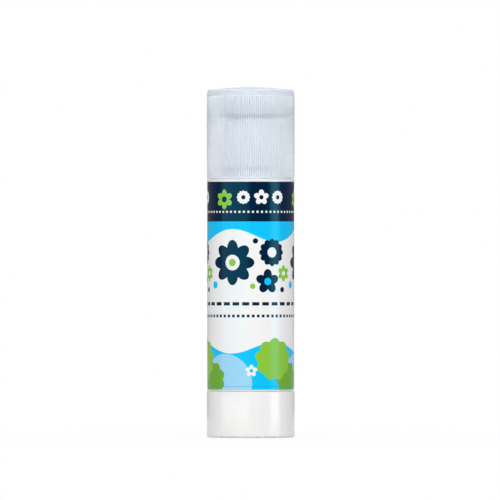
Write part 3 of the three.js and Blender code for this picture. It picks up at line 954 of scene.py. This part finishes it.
# Table and light: a plain pale floor, soft boxes to the left and right that draw the long
# reflections down the plastic, a soft light above the camera, another high behind and a glow
# from the room behind. A dim round wall, seen only in reflections, keeps the edges grey.
room_light = 0.3
glow_behind = 1.0
glow_narrowness = 4
floor_half = 1.5
floor_near_white = 0.88
floor_melt_start = 0.06
floor_melt_width = 0.12
lamp_aim_height = 0.05
wall_radius = 1.7
wall_low = -0.8
wall_high = 1.8
wall_glow = 0.22
wall_steps = 64


def shown_to(tree):
    """1 for the rays that show a surface: from the camera, mirrored, or through clear plastic."""
    path = add(tree, "ShaderNodeLightPath")
    passed_on = sum_of(tree, "MAXIMUM", path.outputs["Is Glossy Ray"],
                       path.outputs["Is Transmission Ray"])
    return sum_of(tree, "MAXIMUM", path.outputs["Is Camera Ray"], passed_on)


floor_shape = bmesh.new()
bmesh.ops.create_grid(floor_shape, x_segments=1, y_segments=1, size=floor_half)
floor = as_object("floor", floor_shape)
floor_paint, tree, shader = new_material("pale floor")
tree.nodes.remove(shader)
output = tree.nodes["Material Output"]
matt = add(tree, "ShaderNodeBsdfDiffuse", Color=linear(243, 243, 243))
plain_white = add(tree, "ShaderNodeEmission", Color=(1, 1, 1, 1), Strength=1.0)
lit = add(tree, "ShaderNodeMixShader")
floor_place = add(tree, "ShaderNodeTexCoord")
floor_reach = add(tree, "ShaderNodeVectorMath", operation="LENGTH")
tree.links.new(floor_place.outputs["Object"], floor_reach.inputs[0])
far = sum_of(tree, "SUBTRACT", floor_reach.outputs["Value"], floor_melt_start)
far = sum_of(tree, "DIVIDE", far, floor_melt_width, clamp=True)
melt = sum_of(tree, "MULTIPLY_ADD", far, 1 - floor_near_white, floor_near_white)
tree.links.new(sum_of(tree, "MULTIPLY", shown_to(tree), melt), lit.inputs[0])
tree.links.new(matt.outputs[0], lit.inputs[1])
tree.links.new(plain_white.outputs[0], lit.inputs[2])
under = add(tree, "ShaderNodeNewGeometry")
clear = add(tree, "ShaderNodeBsdfTransparent")
one_sided = add(tree, "ShaderNodeMixShader")
tree.links.new(under.outputs["Backfacing"], one_sided.inputs[0])
tree.links.new(lit.outputs[0], one_sided.inputs[1])
tree.links.new(clear.outputs[0], one_sided.inputs[2])
tree.links.new(one_sided.outputs[0], output.inputs["Surface"])
floor.data.materials.append(floor_paint)
floor.visible_diffuse = False
floor.visible_shadow = False

world = bpy.data.worlds.new("studio")
world.use_nodes = True
bpy.context.scene.world = world
tree = world.node_tree
backdrop = tree.nodes["Background"]
backdrop.inputs["Color"].default_value = (1, 1, 1, 1)
shown = shown_to(tree)
room = add(tree, "ShaderNodeTexCoord")
room_split = add(tree, "ShaderNodeSeparateXYZ")
tree.links.new(room.outputs["Generated"], room_split.inputs[0])
behind = sum_of(tree, "MAXIMUM", room_split.outputs["Y"], 0)
behind = sum_of(tree, "POWER", behind, glow_narrowness)
lighting = sum_of(tree, "MULTIPLY_ADD", behind, glow_behind, room_light)
lighting = sum_of(tree, "MULTIPLY", sum_of(tree, "SUBTRACT", 1, shown), lighting)
tree.links.new(sum_of(tree, "ADD", shown, lighting), backdrop.inputs["Strength"])


def soft_box(name, azimuth, elevation, distance, width, height, radiance):
    """A lamp panel that faces the stick: azimuth 0 is in front and 90 to the right, in degrees."""
    lamp = bpy.data.lights.new(name, "AREA")
    lamp.shape = "RECTANGLE"
    lamp.size = width
    lamp.size_y = height
    lamp.energy = radiance * math.pi * width * height
    made = bpy.data.objects.new(name, lamp)
    bpy.context.scene.collection.objects.link(made)
    side = math.radians(azimuth)
    up_angle = math.radians(elevation)
    turn = Matrix.Rotation(side, 4, "Z") @ Matrix.Rotation(math.pi / 2 - up_angle, 4, "X")
    aim = Matrix.Translation((0, 0, lamp_aim_height))
    made.matrix_world = aim @ turn @ Matrix.Translation((0, 0, distance))
    made.visible_camera = False
    made.visible_transmission = False


soft_box("left_box", -43, 0, 1.0, 1.6, 0.32, 3.0)
soft_box("right_box", 67, 0, 1.0, 0.46, 0.4, 5.5)
soft_box("front_light", 0, 36, 1.2, 0.9, 0.6, 4.2)
soft_box("back_light", 180, 62, 1.2, 0.9, 0.6, 3.8)

wall_shape = bmesh.new()
wall_foot = wall_shape.verts.new((0, wall_radius, wall_low))
wall_head = wall_shape.verts.new((0, wall_radius, wall_high))
wall_edge = wall_shape.edges.new((wall_foot, wall_head))
bmesh.ops.spin(wall_shape, geom=[wall_foot, wall_head, wall_edge], cent=(0, 0, 0), axis=(0, 0, 1),
               dvec=(0, 0, 0), angle=full_turn, steps=wall_steps, use_merge=True)
wall = as_object("studio_wall", wall_shape)
wall_paint, tree, shader = new_material("grey studio wall")
shader.inputs["Base Color"].default_value = (0, 0, 0, 1)
shader.inputs["Specular IOR Level"].default_value = 0
shader.inputs["Emission Color"].default_value = (1, 1, 1, 1)
shader.inputs["Emission Strength"].default_value = wall_glow
wall.data.materials.append(wall_paint)
wall.visible_camera = False
wall.visible_diffuse = False
wall.visible_transmission = False
wall.visible_shadow = False
wall.visible_volume_scatter = False

photo_height = 500
object_height_pixels = 350.1
stick_height = 103.8
picture_height = stick_height * photo_height / object_height_pixels
camera_lens = 1000
camera_aside = -0.21
camera_height = 55.56
camera_data = bpy.data.cameras.new("camera")
camera_data.lens = camera_lens
camera_distance = picture_height / camera_data.sensor_width * camera_lens
camera_data.clip_end = 20
camera = bpy.data.objects.new("camera", camera_data)
bpy.context.scene.collection.objects.link(camera)
camera.location = (camera_aside * mm, -camera_distance * mm, camera_height * mm)
camera.rotation_euler = (math.pi / 2, 0, 0)
bpy.context.scene.camera = camera
bpy.context.scene.view_settings.view_transform = "Standard"
